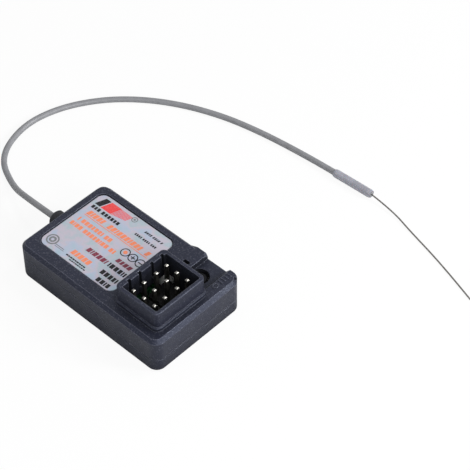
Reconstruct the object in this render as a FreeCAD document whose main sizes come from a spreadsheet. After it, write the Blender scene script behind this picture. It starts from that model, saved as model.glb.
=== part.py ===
import FreeCAD, Part
import math
import os
import re
import Sketcher
from FreeCAD import Placement, Rotation, Vector

# Three-channel radio-control receiver: a black two-shell case with a collared
# plug socket, a lowered button strip beside it, a label on the lid, the board
# with its header pins inside, and a coax aerial that lies on the table.
# Frame: millimetres, +Z up, origin under the middle of the case on the table.
# +X points to the socket end, the aerial leaves at -X.

doc = FreeCAD.newDocument("rc_receiver")
sheet = doc.addObject("Spreadsheet::Sheet", "sizes")

SIZES = (
    # the case: walls, roundings, and what stands between its parts from end to end
    ("corner_round", 2.0),
    ("foot_round", 0.6),
    ("side_wall", 1.1),
    ("floor_wall", 0.9),
    ("roof_wall", 0.9),
    ("bevel_in", 0.62),
    ("bevel_down", 0.75),
    ("rear_land", 2.08),
    ("label_gap", 1.74),
    ("front_land", 1.68),
    ("near_land", 2.075),
    ("strip_wide", 6.575),
    ("room_above", 4.25),
    # the S-shaped seam between the shells, its groove, and the tongue that closes it
    ("seam_front", 3.0),
    ("seam_turn_start", 1.1),
    ("seam_turn_end", 6.1),
    ("groove_wide", 0.16),
    ("groove_deep", 0.16),
    ("lip_wall", 0.5),
    ("lip_rise", 0.6),
    ("lip_play", 0.06),
    # the label and its recess
    ("label_length", 18.7),
    ("label_near", 3.17),
    ("label_far", 2.03),
    ("label_round", 1.5),
    ("label_skin", 0.12),
    ("recess_gap", 0.22),
    ("recess_deep", 0.3),
    # the plug socket: collar and plinth on the lid, and the key grooves in its rear wall
    ("socket_long", 8.9),
    ("socket_wide", 10.75),
    ("socket_round", 0.4),
    ("key_rib", 0.53),
    ("key_wide", 0.7),
    ("key_shift", 0.5),
    ("key_drop", 3.5),
    ("collar_wall", 0.7),
    ("collar_round", 0.95),
    ("rim_round", 0.15),
    ("collar_rise", 4.15),
    ("plinth_ledge", 0.35),
    ("plinth_round", 0.25),
    ("plinth_rise", 0.75),
    # the lowered strip for the button on the far side of the lid
    ("end_land", 2.8),
    ("strip_long", 4.5),
    ("strip_ramp", 1.0),
    ("strip_deep", 1.21),
    ("strip_wall", 1.0),
    ("shoulder_climb", 1.95),
    ("shoulder_flat", 2.4),
    ("shoulder_deep", 1.6),
    ("shoulder_ease", 0.45),
    ("shoulder_drop", 0.65),
    ("lamp_slot_long", 1.4),
    ("lamp_slot_wide", 0.7),
    # the button and its switch
    ("button_in", 2.65),
    ("button_shift", 0.245),
    ("button_wide", 3.0),
    ("button_gap", 0.4),
    ("button_round", 0.3),
    ("button_sink", 0.34),
    ("flange_out", 0.3),
    ("flange_thick", 0.4),
    ("plate_gap", 0.15),
    ("plate_thick", 0.2),
    ("well_gap", 0.2),
    ("switch_wall", 0.4),
    ("switch_base", 0.45),
    ("switch_rise", 1.9),
    ("switch_play", 0.05),
    ("dome_thick", 0.12),
    # the board
    ("board_thick", 1.0),
    ("board_lift", 0.8),
    ("board_play", 0.25),
    ("board_round", 1.0),
    ("pin_drill", 1.05),
    # header pins
    ("pitch", 2.54),
    ("row_gap", 3.0),
    ("pin_side", 0.64),
    ("pin_sink", 0.8),
    ("pin_tail", 0.55),
    ("pin_point", 0.16),
    ("header_rise", 2.5),
    ("header_notch", 0.4),
    # screws and their posts at the two rear corners
    ("post_in", 1.75),
    ("post_wide", 3.2),
    ("boss_wide", 3.5),
    ("screw_wide", 1.5),
    ("thread_play", 0.04),
    ("screw_play", 0.3),
    ("screw_length", 5.6),
    ("screw_head", 2.6),
    ("screw_head_thick", 0.6),
    ("screw_sink", 0.7),
    ("screw_cross", 0.35),
    # parts on the board
    ("can_wide", 3.0),
    ("can_room", 0.35),
    ("can_foot", 0.5),
    ("can_round", 0.3),
    ("can_edge", 0.1),
    ("can_lap", 0.29),
    ("can_dip", 0.61),
    ("foot_cut", 0.8),
    ("chip_side", 7.0),
    ("chip_rise", 1.0),
    ("chip_gap", 4.61),
    ("chip_y", -1.0),
    ("radio_side", 4.0),
    ("radio_rise", 0.85),
    ("radio_in", 7.3),
    ("radio_y", -4.5),
    ("crystal_long", 3.2),
    ("crystal_wide", 2.5),
    ("crystal_rise", 0.85),
    ("crystal_y", 4.0),
    ("chip_bevel", 0.2),
    ("lamp_long", 1.6),
    ("lamp_wide", 0.8),
    ("lamp_rise", 0.7),
    ("lamp_bevel", 0.1),
    ("lamp_gap", 0.55),
    ("lamp_shift", 0.2),
    # the cable gland
    ("gland_wide", 3.5),
    ("gland_out", 2.0),
    ("gland_neck", 2.5),
    ("gland_flange", 3.4),
    ("gland_flange_thick", 0.6),
    ("gland_round", 0.35),
    # the aerial
    ("coax_wide", 1.2),
    ("coax_play", 0.05),
    ("sleeve_wide", 1.7),
    ("sleeve_length", 9.0),
    ("tip_wide", 0.3),
)

# Sizes and places that follow from the ones above. The case is as long and as wide
# as what it holds, and the label is as wide as the lid lets it be.
WORKED_OUT = {
    "plinth_long": "socket_long + 2 * collar_wall + 2 * plinth_ledge",
    "plinth_wide": "socket_wide + 2 * collar_wall + 2 * plinth_ledge",
    "case_length": "rear_land + label_length + label_gap + plinth_long + front_land",
    "case_width": "near_land + plinth_wide + strip_wide",
    "label_width": "case_width - label_near - label_far",
    "label_x": "rear_land + label_length / 2 - case_length / 2",
    "label_y": "label_near + label_width / 2 - case_width / 2",
    "socket_x": "case_length / 2 - front_land - plinth_long / 2",
    "socket_y": "near_land + plinth_wide / 2 - case_width / 2",
    "board_under": "floor_wall + board_lift",
    "board_top": "floor_wall + board_lift + board_thick",
    "roof_under": "board_top + room_above",
    "roof_top": "board_top + room_above + roof_wall",
    "seam_rear": "board_top + room_above / 2",
    "seam_reach": "case_length / 2 + corner_round",
    "cover_bottom": "seam_front - side_wall",
    "collar_top": "roof_top + collar_rise",
    "plinth_top": "roof_top + plinth_rise",
    "strip_side": "socket_y + plinth_wide / 2",
    "strip_end": "case_length / 2 - end_land - strip_ramp",
    "strip_start": "strip_end - strip_long",
    "strip_floor": "roof_top - strip_deep",
    "strip_under": "strip_floor - strip_wall",
    "shoulder_full": "strip_start - shoulder_flat",
    "shoulder_start": "shoulder_full - shoulder_climb",
    "inner_long": "case_length - 2 * side_wall",
    "inner_wide": "case_width - 2 * side_wall",
    "header_rear": "socket_x - 1.5 * pitch",
    "header_edge": "socket_y + row_gap / 2 + 1.5 * pitch",
    "pin_tip": "collar_top - pin_sink",
    "button_x": "strip_end - button_in",
    "button_y": "(header_edge + inner_wide / 2) / 2 + button_shift",
    "button_top": "strip_floor - button_sink",
    "button_hole": "button_wide + 2 * button_gap",
    "flange_wide": "button_wide + 2 * flange_out",
    "flange_top": "switch_top - switch_play",
    "plate_hole": "button_wide + 2 * plate_gap",
    "switch_top": "board_top + switch_rise",
    "switch_well": "flange_wide + 2 * well_gap",
    "switch_side": "switch_well + 2 * switch_wall",
    "well_floor": "board_top + switch_base",
    "lamp_x": "button_x - switch_side / 2 - lamp_gap - lamp_wide / 2",
    "lamp_y": "button_y + lamp_shift",
    "post_x": "side_wall + post_in - case_length / 2",
    "post_y": "case_width / 2 - side_wall - post_in",
    "foot_side": "can_wide + 2 * can_edge",
    "can_x": "header_rear + can_lap - foot_side / 2",
    "can_y": "header_edge - can_dip + foot_side / 2",
    "can_tall": "room_above - can_room - can_foot",
    "chip_x": "header_rear - chip_gap - chip_side / 2",
    "radio_x": "radio_in - case_length / 2",
}
for line, (alias, size) in enumerate(SIZES, start=1):
    sheet.set("A%d" % line, alias)
    sheet.set("B%d" % line, "%g" % size)
    sheet.setAlias("B%d" % line, alias)
doc.recompute()


def tied(text):
    """An expression in which size names point at their cells and worked-out ones are written out."""
    def written_out(found):
        name = found.group(0)
        return "(%s)" % tied(WORKED_OUT[name]) if name in WORKED_OUT else "sizes." + name
    return re.sub(r"[a-z][a-z_]*", written_out, text)


def tie(thing, prop, text):
    thing.setExpression(prop, tied(text))


gauge = doc.addObject("App::FeaturePython", "gauge")
gauge.addProperty("App::PropertyFloat", "reading")


def size_of(text):
    """The number that a size or an expression of sizes has now."""
    tie(gauge, "reading", text)
    gauge.recompute()
    return gauge.reading


CENTRE = ("0", "0", "0")
PIN_ROWS = ("socket_y - row_gap / 2 - pitch", "socket_y - row_gap / 2",
            "socket_y + row_gap / 2", "socket_y + row_gap / 2 + pitch")


# Sketches

LOCAL_AXES = {"XY_Plane": (0, 1, 2), "XZ_Plane": (0, 2, 1), "YZ_Plane": (1, 2, 0)}


def new_body(label):
    body = doc.addObject("PartDesign::Body", label)
    body.Label = label
    return body


def new_sketch(body, name, place, role):
    """An empty sketch on an origin plane of the body, moved to a place given in X, Y, Z."""
    sketch = body.newObject("Sketcher::SketchObject", name)
    plane = [feature for feature in body.Origin.OriginFeatures if feature.Role == role][0]
    sketch.AttachmentSupport = [(plane, "")]
    sketch.MapMode = "FlatFace"
    for axis, source in zip("xyz", LOCAL_AXES[role]):
        text = place[source]
        if text == "0":
            continue
        if axis == "z" and role == "XZ_Plane":
            text = "-1 * (%s)" % text
        tie(sketch, "AttachmentOffset.Base." + axis, text)
    return sketch


def constrain(sketch, constraints):
    for constraint in constraints:
        sketch.addConstraint(Sketcher.Constraint(*constraint))


def dimension(sketch, kind, *where, to, drawn=1.0):
    """A dimension tied to an expression. It starts at the size that is drawn."""
    at = sketch.addConstraint(Sketcher.Constraint(kind, *where, drawn))
    tie(sketch, "Constraints[%d]" % at, to)


def rounded_rectangle(body, name, long, wide, corner, place=CENTRE, role="XY_Plane"):
    """A rectangle centred on the place, with rounded corners."""
    sketch = new_sketch(body, name, place, role)
    ends = ((-4, -3), (4, -3), (5, -2), (5, 2), (4, 3), (-4, 3), (-5, 2), (-5, -2))
    centres = ((4, -2), (4, 2), (-4, 2), (-4, -2))
    for side in range(4):
        sketch.addGeometry(Part.LineSegment(Vector(*ends[2 * side], 0), Vector(*ends[2 * side + 1], 0)))
        circle = Part.Circle(Vector(*centres[side], 0), Vector(0, 0, 1), 1)
        turn = math.pi / 2 * (side - 1)
        sketch.addGeometry(Part.ArcOfCircle(circle, turn, turn + math.pi / 2))
    for side in range(4):
        edge, arc, after = 2 * side, 2 * side + 1, (2 * side + 2) % 8
        constrain(sketch, (("Tangent", edge, 2, arc, 1), ("Tangent", arc, 2, after, 1),
                           ("Horizontal" if side % 2 == 0 else "Vertical", edge)))
    constrain(sketch, (("Equal", 1, 3), ("Equal", 1, 5), ("Equal", 1, 7), ("Symmetric", 1, 3, 5, 3, -1, 1)))
    dimension(sketch, "Radius", 1, to=corner)
    dimension(sketch, "DistanceX", 6, 1, 2, 1, to=long)
    dimension(sketch, "DistanceY", 0, 1, 4, 1, to=wide)
    return sketch


def rectangle(body, name, long, wide, place=CENTRE, role="XY_Plane"):
    """A rectangle centred on the place."""
    sketch = new_sketch(body, name, place, role)
    spots = [Vector(-2, -1, 0), Vector(2, -1, 0), Vector(2, 1, 0), Vector(-2, 1, 0)]
    for side in range(4):
        sketch.addGeometry(Part.LineSegment(spots[side], spots[(side + 1) % 4]))
    for side in range(4):
        constrain(sketch, (("Coincident", side, 2, (side + 1) % 4, 1),
                           ("Horizontal" if side % 2 == 0 else "Vertical", side)))
    constrain(sketch, (("Symmetric", 0, 1, 1, 2, -1, 1),))
    dimension(sketch, "DistanceX", 0, 1, 0, 2, to=long)
    dimension(sketch, "DistanceY", 1, 1, 1, 2, to=wide)
    return sketch


def outline(body, name, corners, place=CENTRE, role="XY_Plane"):
    """A closed outline of straight lines. Corners are measured from the place, none of them negative."""
    sketch = new_sketch(body, name, place, role)
    count = len(corners)
    around = [2 * math.pi * i / count for i in range(count)]
    rough = [Vector(10 + 9 * math.cos(turn), 10 + 9 * math.sin(turn), 0) for turn in around]
    for i in range(count):
        sketch.addGeometry(Part.LineSegment(rough[i], rough[(i + 1) % count]))
    for i, (across, up) in enumerate(corners):
        constrain(sketch, (("Coincident", i, 2, (i + 1) % count, 1),))
        if across == "0":
            constrain(sketch, (("PointOnObject", i, 1, -2),))
        else:
            dimension(sketch, "DistanceX", -1, 1, i, 1, to=across)
        if up == "0":
            constrain(sketch, (("PointOnObject", i, 1, -1),))
        else:
            dimension(sketch, "DistanceY", -1, 1, i, 1, to=up)
    return sketch


def disc(body, name, diameter, place=CENTRE, role="XY_Plane"):
    sketch = new_sketch(body, name, place, role)
    sketch.addGeometry(Part.Circle(Vector(0, 0, 0), Vector(0, 0, 1), 1))
    constrain(sketch, (("Coincident", 0, 3, -1, 1),))
    dimension(sketch, "Diameter", 0, to=diameter)
    return sketch


# Features

def pad(body, sketch, length, against=False, both=False):
    """Adds a length along the sketch's normal, against it, or half to both sides."""
    feature = body.newObject("PartDesign::Pad", sketch.Name + "_pad")
    feature.Profile = sketch
    feature.Reversed = against
    if both:
        feature.SideType = "Symmetric"
    tie(feature, "Length", length)
    body.Tip = feature
    return feature


def pocket(body, sketch, length, along=False):
    """Cuts a length against the sketch's normal, or along it, and has to take something away."""
    before = body.Tip
    feature = body.newObject("PartDesign::Pocket", sketch.Name + "_cut")
    feature.Profile = sketch
    feature.Reversed = along
    tie(feature, "Length", length)
    body.Tip = feature
    doc.recompute()
    if feature.Shape.isNull() or feature.Shape.Volume >= before.Shape.Volume - 1e-6:
        raise RuntimeError(feature.Name + " cuts nothing")
    return feature


def repeated(body, name, feature, sketch, length, count):
    """Repeats a cut along the sketch's horizontal axis."""
    pattern = body.newObject("PartDesign::LinearPattern", name)
    pattern.Originals = [feature]
    pattern.Direction = (sketch, ["H_Axis"])
    tie(pattern, "Length", length)
    pattern.Occurrences = count
    body.Tip = pattern
    doc.recompute()
    return pattern


def level(height):
    return lambda spot: abs(spot.z - height) < 1e-4


def edges_where(feature, wanted):
    """The names of the edges whose middle and ends pass a test."""
    doc.recompute()
    names = []
    for number, edge in enumerate(feature.Shape.Edges, start=1):
        spots = [vertex.Point for vertex in edge.Vertexes]
        spots.append(edge.valueAt((edge.FirstParameter + edge.LastParameter) / 2))
        if all(wanted(spot) for spot in spots):
            names.append("Edge%d" % number)
    return names


def fillet(body, feature, wanted, radius):
    rounding = body.newObject("PartDesign::Fillet", feature.Name + "_round")
    rounding.Base = (feature, edges_where(feature, wanted))
    tie(rounding, "Radius", radius)
    body.Tip = rounding
    return rounding


def chamfer(body, feature, wanted, size, second=None):
    bevel = body.newObject("PartDesign::Chamfer", feature.Name + "_bevel")
    bevel.Base = (feature, edges_where(feature, wanted))
    if second:
        bevel.ChamferType = "Two distances"
        tie(bevel, "Size2", second)
    tie(bevel, "Size", size)
    body.Tip = bevel
    return bevel


def turned(label, profile, axis="V_Axis"):
    """A body turned from a closed profile in the XZ plane about its upright or its level axis."""
    body = new_body(label)
    sketch = outline(body, label + "_profile", profile, CENTRE, "XZ_Plane")
    turn = body.newObject("PartDesign::Revolution", label + "_turn")
    turn.Profile = sketch
    turn.ReferenceAxis = (sketch, [axis])
    turn.Angle = 360
    body.Tip = turn
    return body, turn


def put(thing, x="0", y="0", z="0"):
    for axis, text in zip("xyz", (x, y, z)):
        if text != "0":
            tie(thing, "Placement.Base." + axis, text)
    return thing


def cylinder(name, diameter, tall, x, y, z="0"):
    piece = doc.addObject("Part::Cylinder", name)
    tie(piece, "Radius", "(%s) / 2" % diameter)
    tie(piece, "Height", tall)
    return put(piece, x, y, z)


def joined(name, shapes):
    fuse = doc.addObject("Part::MultiFuse", name)
    fuse.Shapes = shapes
    return fuse


def less(name, base, tool):
    cut = doc.addObject("Part::Cut", name)
    cut.Label = name
    cut.Base = base
    cut.Tool = tool
    return cut


def shared(name, base, tool):
    common = doc.addObject("Part::Common", name)
    common.Base = base
    common.Tool = tool
    return common


# The seam

def below_seam(name, lift):
    """All that lies under the S-shaped seam, raised by a lift: two equal arcs between two levels."""
    body = new_body(name)
    sketch = new_sketch(body, name + "_profile", ("-1 * seam_reach", "0", "-1 * corner_round"), "XZ_Plane")
    reach, drop = size_of("seam_reach"), size_of("corner_round")
    start, end = reach + size_of("seam_turn_start"), reach + size_of("seam_turn_end")
    rear, front = drop + size_of("seam_rear"), drop + size_of("seam_front")
    radius = ((end - start) ** 2 + (rear - front) ** 2) / 4 / (rear - front)
    lines = ((0, 0, 2 * reach, 0), (2 * reach, 0, 2 * reach, front), (2 * reach, front, end, front),
             (start, rear, 0, rear), (0, rear, 0, 0))
    for x1, z1, x2, z2 in lines:
        sketch.addGeometry(Part.LineSegment(Vector(x1, z1, 0), Vector(x2, z2, 0)))
    turn = math.asin((end - start) / 2 / radius)
    quarter = math.pi / 2
    lower = Part.Circle(Vector(end, front + radius, 0), Vector(0, 0, 1), radius)
    upper = Part.Circle(Vector(start, rear - radius, 0), Vector(0, 0, 1), radius)
    sketch.addGeometry(Part.ArcOfCircle(lower, -quarter - turn, -quarter))
    sketch.addGeometry(Part.ArcOfCircle(upper, quarter - turn, quarter))
    constrain(sketch, (
        ("Coincident", 0, 1, -1, 1), ("Coincident", 0, 2, 1, 1), ("Coincident", 1, 2, 2, 1),
        ("Tangent", 2, 2, 5, 2), ("Tangent", 5, 1, 6, 1), ("Tangent", 6, 2, 3, 1),
        ("Coincident", 3, 2, 4, 1), ("Coincident", 4, 2, 0, 1), ("Horizontal", 0),
        ("Vertical", 1), ("Horizontal", 2), ("Horizontal", 3), ("Vertical", 4), ("Equal", 5, 6)))
    dimension(sketch, "DistanceX", -1, 1, 0, 2, to="2 * seam_reach", drawn=2 * reach)
    dimension(sketch, "DistanceX", -1, 1, 2, 2, to="seam_reach + seam_turn_end", drawn=end)
    dimension(sketch, "DistanceX", -1, 1, 3, 1, to="seam_reach + seam_turn_start", drawn=start)
    dimension(sketch, "DistanceY", -1, 1, 2, 2, to="seam_front + corner_round + " + lift, drawn=front)
    dimension(sketch, "DistanceY", -1, 1, 3, 1, to="seam_rear + corner_round + " + lift, drawn=rear)
    pad(body, sketch, "2 * case_width", both=True)
    return body


def tongue(name, lift, play):
    """The core whose rim is the tongue: the case less the outer part of its wall, under a raised seam."""
    core = new_body(name + "_core")
    plan = rounded_rectangle(
        core, name + "_plan", "case_length - 2 * (side_wall - lip_wall) + 2 * " + play,
        "case_width - 2 * (side_wall - lip_wall) + 2 * " + play,
        "corner_round - side_wall + lip_wall + " + play, ("0", "0", "floor_wall"))
    pad(core, plan, "roof_top - floor_wall")
    return shared(name, core, below_seam(name + "_under", lift))


def seam_groove(name):
    """The groove round the outside along the seam."""
    core = new_body(name + "_core")
    plan = rounded_rectangle(core, name + "_plan", "case_length - 2 * groove_deep",
                             "case_width - 2 * groove_deep", "corner_round - groove_deep")
    pad(core, plan, "roof_top * 1")
    over = below_seam(name + "_over", "groove_wide / 2")
    under = below_seam(name + "_under", "(-0.5 * groove_wide)")
    return less(name, less(name + "_band", over, under), core)


def shell_block(name, bottom, top):
    """The case's outer block between two heights."""
    body = new_body(name)
    plan = rounded_rectangle(body, name + "_plan", "case_length", "case_width", "corner_round",
                             ("0", "0", bottom))
    return body, pad(body, plan, "%s - %s" % (top, bottom))


def gland_drill(body):
    """The round hole for the gland's neck, which the seam halves."""
    hole = disc(body, body.Name + "_gland", "gland_neck",
                ("-1 * case_length / 2 - side_wall", "0", "1 * seam_rear"), "YZ_Plane")
    return pocket(body, hole, "3 * side_wall", along=True)


# The shells

def add_shoulders(body):
    """Before and behind the strip the far wall goes up to the lid's top without a bevel."""
    full = "shoulder_full - shoulder_start"
    ease = full + " + shoulder_flat - shoulder_ease"
    rise = outline(body, "shoulder_rise", (
        ("0", "0"),
        (full + " + shoulder_flat", "0"),
        (full + " + shoulder_flat", "2 * bevel_down - shoulder_drop"),
        (ease, "2 * bevel_down"),
        (full, "2 * bevel_down"),
        ("0.86 * (%s)" % full, "1.9 * bevel_down"),
        ("0.31 * (%s)" % full, "1.27 * bevel_down"),
        ("0", "0.87 * bevel_down")),
        ("shoulder_start", "case_width / 2", "roof_top - 2 * bevel_down"), "XZ_Plane")
    pad(body, rise, "shoulder_deep")

    corner = new_sketch(body, "shoulder_corner", ("strip_end", "0", "roof_top"), "XY_Plane")
    centre, bend = Vector(2, 8, 0), Vector(3.4, 9.4, 0)
    inner, outer, start = Vector(1, 9, 0), Vector(1, 10, 0), Vector(2, 10, 0)
    corner.addGeometry(Part.LineSegment(inner, outer))
    corner.addGeometry(Part.LineSegment(outer, start))
    corner.addGeometry(Part.ArcOfCircle(Part.Circle(centre, Vector(0, 0, 1), 2), math.pi / 4, math.pi / 2))
    corner.addGeometry(Part.LineSegment(bend, inner))
    constrain(corner, (
        ("Coincident", 0, 2, 1, 1), ("Tangent", 1, 2, 2, 2), ("Coincident", 2, 1, 3, 1),
        ("Coincident", 3, 2, 0, 1), ("Vertical", 0), ("Horizontal", 1), ("PointOnObject", 0, 1, -2)))
    dimension(corner, "DistanceY", -1, 1, 0, 1, to="case_width / 2 - shoulder_deep")
    dimension(corner, "DistanceY", -1, 1, 1, 1, to="case_width / 2")
    dimension(corner, "DistanceX", -1, 1, 2, 3, to="case_length / 2 - corner_round - strip_end")
    dimension(corner, "Radius", 2, to="corner_round")
    dimension(corner, "DistanceX", -1, 1, 3, 1, to="case_length / 2 - strip_end - corner_round * 0.3")
    pad(body, corner, "2 * bevel_down", against=True)


def add_collar(body):
    """The plinth on the lid and the collar that stands on it."""
    long, wide = "socket_long + 2 * collar_wall", "socket_wide + 2 * collar_wall"
    place = ("socket_x", "socket_y", "roof_under")
    plinth = rounded_rectangle(body, "plinth_plan", long + " + 2 * plinth_ledge",
                               wide + " + 2 * plinth_ledge", "collar_round + plinth_ledge", place)
    raised = pad(body, plinth, "plinth_top - roof_under")
    fillet(body, raised, level(size_of("plinth_top")), "plinth_round")
    collar = rounded_rectangle(body, "collar_plan", long, wide, "collar_round", place)
    wall = pad(body, collar, "collar_top - roof_under")
    fillet(body, wall, level(size_of("collar_top")), "rim_round")


def add_keys(body):
    """The ribs on the socket's rear wall, which leave a key groove for each plug."""
    rear = "socket_x - socket_long / 2"
    wall = rectangle(body, "key_wall_plan", "key_rib + collar_wall / 2", "socket_wide + collar_wall",
                     (rear + " + key_rib / 2 - collar_wall / 4", "socket_y", "roof_under"))
    pad(body, wall, "collar_top - roof_under")
    for row, across in enumerate(PIN_ROWS, start=1):
        groove = rectangle(body, "key_%d_plan" % row, "2 * key_rib", "key_wide",
                           (rear + " + key_rib", across + " + key_shift", "collar_top"))
        pocket(body, groove, "key_drop")


def cut_strip(body):
    """The lowered strip, open to the far side, with a ramp at the socket end."""
    flat = "strip_end - strip_start"
    deep = "roof_top - strip_floor"
    strip = outline(body, "strip_profile", (
        ("0", "0"), (flat, "0"), (flat + " + strip_ramp", deep),
        (flat + " + strip_ramp", deep + " + corner_round"), ("0", deep + " + corner_round")),
        ("strip_start", "case_width / 2 + corner_round", "strip_floor"), "XZ_Plane")
    pocket(body, strip, "case_width / 2 + corner_round - strip_side", along=True)


def cut_inside(body):
    """The hollow of the lid, with a lower roof under the strip."""
    corner = ("-1 * case_length / 2 + side_wall", "-1 * case_width / 2 + side_wall", "cover_bottom")
    step_x = "case_length / 2 - side_wall + strip_start - side_wall"
    step_y = "case_width / 2 - side_wall + strip_side - side_wall"
    inside = outline(body, "inside_plan", (
        ("0", "0"), ("inner_long", "0"), ("inner_long", step_y), (step_x, step_y),
        (step_x, "inner_wide"), ("0", "inner_wide")), corner)
    pocket(body, inside, "roof_under - cover_bottom", along=True)
    under = outline(body, "under_strip_plan", (
        (step_x + " - side_wall", step_y + " - side_wall"), ("inner_long", step_y + " - side_wall"),
        ("inner_long", "inner_wide"), (step_x + " - side_wall", "inner_wide")), corner)
    pocket(body, under, "strip_under - cover_bottom", along=True)


def cut_openings(body):
    """The socket, the button's hole, the lamp's slot and the gland's hole."""
    opening = rounded_rectangle(body, "opening_plan", "socket_long", "socket_wide", "socket_round",
                                ("socket_x", "socket_y", "collar_top"))
    pocket(body, opening, "collar_top - strip_under + side_wall")
    add_keys(body)
    hole = disc(body, "button_hole_plan", "button_hole", ("button_x", "button_y", "roof_top"))
    pocket(body, hole, "roof_top - strip_under + side_wall")
    slot = rounded_rectangle(body, "lamp_slot_plan", "lamp_slot_long", "lamp_slot_wide",
                             "lamp_slot_wide * 0.4", ("lamp_x", "lamp_y", "roof_top"))
    pocket(body, slot, "roof_top - strip_under + side_wall")
    gland_drill(body)


def add_posts(body):
    """The two rear posts that the screws bite into. They come down on the board."""
    for side, sign in (("near", "-1"), ("far", "1")):
        place = ("post_x", sign + " * post_y", "board_top")
        post = disc(body, "post_" + side, "post_wide", place)
        pad(body, post, "roof_under + roof_wall / 2 - board_top")
        drill = disc(body, "post_drill_" + side, "screw_wide + thread_play", place)
        pocket(body, drill, "screw_sink + screw_length + thread_play - board_top", along=True)


def top_cover():
    body, block = shell_block("cover_block", "cover_bottom", "roof_top")
    chamfer(body, block, level(size_of("roof_top")), "bevel_down", "bevel_in")
    add_shoulders(body)
    add_collar(body)
    cut_strip(body)
    recess = rounded_rectangle(body, "recess_plan", "label_length + 2 * recess_gap",
                               "label_width + 2 * recess_gap", "label_round + recess_gap",
                               ("label_x", "label_y", "roof_top"))
    pocket(body, recess, "recess_deep")
    cut_inside(body)
    cut_openings(body)
    add_posts(body)

    lower = joined("cover_under", [below_seam("under_cover", "0 * lip_play"),
                                   tongue("tongue_room", "(lip_rise + lip_play)", "lip_play")])
    keep = [cylinder("post_keep", "post_wide", "roof_top - board_top", "post_x", "%d * post_y" % sign,
                     "board_top") for sign in (-1, 1)]
    closed = less("cover_closed", body, less("cover_under_less_posts", lower, joined("post_zone", keep)))
    return less("top_cover", closed, seam_groove("cover_groove"))


def bottom_case():
    body, block = shell_block("case_block", "0 * floor_wall", "roof_under")
    fillet(body, block, level(0.0), "foot_round")
    gland_drill(body)
    kept = joined("case_zone", [below_seam("under_case", "0 * lip_play"),
                                tongue("tongue_keep", "lip_rise", "0 * lip_play")])
    solid = shared("case_solid", body, kept)

    room = new_body("case_room")
    plan = rounded_rectangle(room, "case_room_plan", "inner_long", "inner_wide", "corner_round - side_wall",
                             ("0", "0", "floor_wall"))
    pad(room, plan, "roof_top")
    bosses = [cylinder("case_boss", "boss_wide", "board_under", "%d * post_x" % along, "%d * post_y" % side)
              for along in (1, -1) for side in (1, -1)]
    hollow = less("case_hollow", room, joined("case_bosses", bosses))
    drills = []
    for side in ("-1 * post_y", "1 * post_y"):
        drills.append(cylinder("shank_drill", "screw_wide + screw_play", "board_top", "post_x", side))
        drills.append(cylinder("head_drill", "screw_head + screw_play", "screw_sink", "post_x", side))
    drilled = less("case_drilled", less("case_open", solid, hollow), joined("case_drills", drills))
    return less("bottom_case", drilled, seam_groove("case_groove"))


def case_screw(label, side):
    """A small pan-head screw from below, with a cross in its head."""
    body, turn = turned(label, (
        ("0", "screw_sink - screw_head_thick"),
        ("screw_head / 2 - 0.2 * screw_head_thick", "screw_sink - screw_head_thick"),
        ("screw_head / 2", "screw_sink - 0.7 * screw_head_thick"),
        ("screw_head / 2", "1 * screw_sink"),
        ("screw_wide / 2", "1 * screw_sink"),
        ("screw_wide / 2", "screw_sink + screw_length - screw_wide / 2"),
        ("0.12 * screw_wide", "screw_sink + screw_length"),
        ("0", "screw_sink + screw_length")))
    arm = "0.6 * screw_head"
    for name, long, wide in (("along", arm, "screw_cross"), ("across", "screw_cross", arm)):
        slot = rectangle(body, label + "_" + name, long, wide, ("0", "0", "screw_sink - screw_head_thick"))
        pocket(body, slot, "0.6 * screw_head_thick", along=True)
    return put(body, "post_x", "%d * post_y" % side)


def label_sticker():
    body = new_body("label")
    plan = rounded_rectangle(body, "label_plan", "label_length", "label_width", "label_round",
                             ("label_x", "label_y", "roof_top - recess_deep"))
    pad(body, plan, "label_skin")
    return body


# The board and what stands on it

def circuit_board():
    body = new_body("circuit_board")
    plan = rounded_rectangle(body, "board_plan", "inner_long - 2 * board_play",
                             "inner_wide - 2 * board_play", "board_round", ("0", "0", "board_under"))
    pad(body, plan, "board_thick")
    for row, across in enumerate(PIN_ROWS, start=1):
        drill = disc(body, "pin_drill_%d" % row, "pin_drill", ("socket_x - pitch", across, "board_top"))
        repeated(body, "pin_drills_%d" % row, pocket(body, drill, "2 * board_thick"), drill, "2 * pitch", 3)
    for side, sign in (("near", "-1"), ("far", "1")):
        drill = disc(body, "board_drill_" + side, "screw_wide + screw_play",
                     ("post_x", sign + " * post_y", "board_top"))
        pocket(body, drill, "2 * board_thick")
    return body


def header_block(label, first_row):
    """A two-row header: a plastic strip, notched between its pins, with a square hole for each."""
    body = new_body(label)
    corners = []
    for column in range(3):
        corners += [("%d * pitch + header_notch" % column, "0"),
                    ("%d * pitch - header_notch" % (column + 1), "0"),
                    ("%d * pitch" % (column + 1), "1 * header_notch")]
    corners.append(("3 * pitch", "2 * pitch - header_notch"))
    for column in (2, 1, 0):
        corners += [("%d * pitch - header_notch" % (column + 1), "2 * pitch"),
                    ("%d * pitch + header_notch" % column, "2 * pitch"),
                    ("%d * pitch" % column if column else "0", "2 * pitch - header_notch")]
    corners.append(("0", "1 * header_notch"))
    block = outline(body, label + "_plan", corners,
                    ("header_rear", PIN_ROWS[first_row] + " - pitch / 2", "board_top"))
    pad(body, block, "header_rise")
    for row in (first_row, first_row + 1):
        hole = rectangle(body, "%s_hole_%d" % (label, row), "pin_side", "pin_side",
                         ("socket_x - pitch", PIN_ROWS[row], "board_top + header_rise"))
        drilled = pocket(body, hole, "2 * header_rise")
        repeated(body, "%s_holes_%d" % (label, row), drilled, hole, "2 * pitch", 3)
    return body


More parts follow.
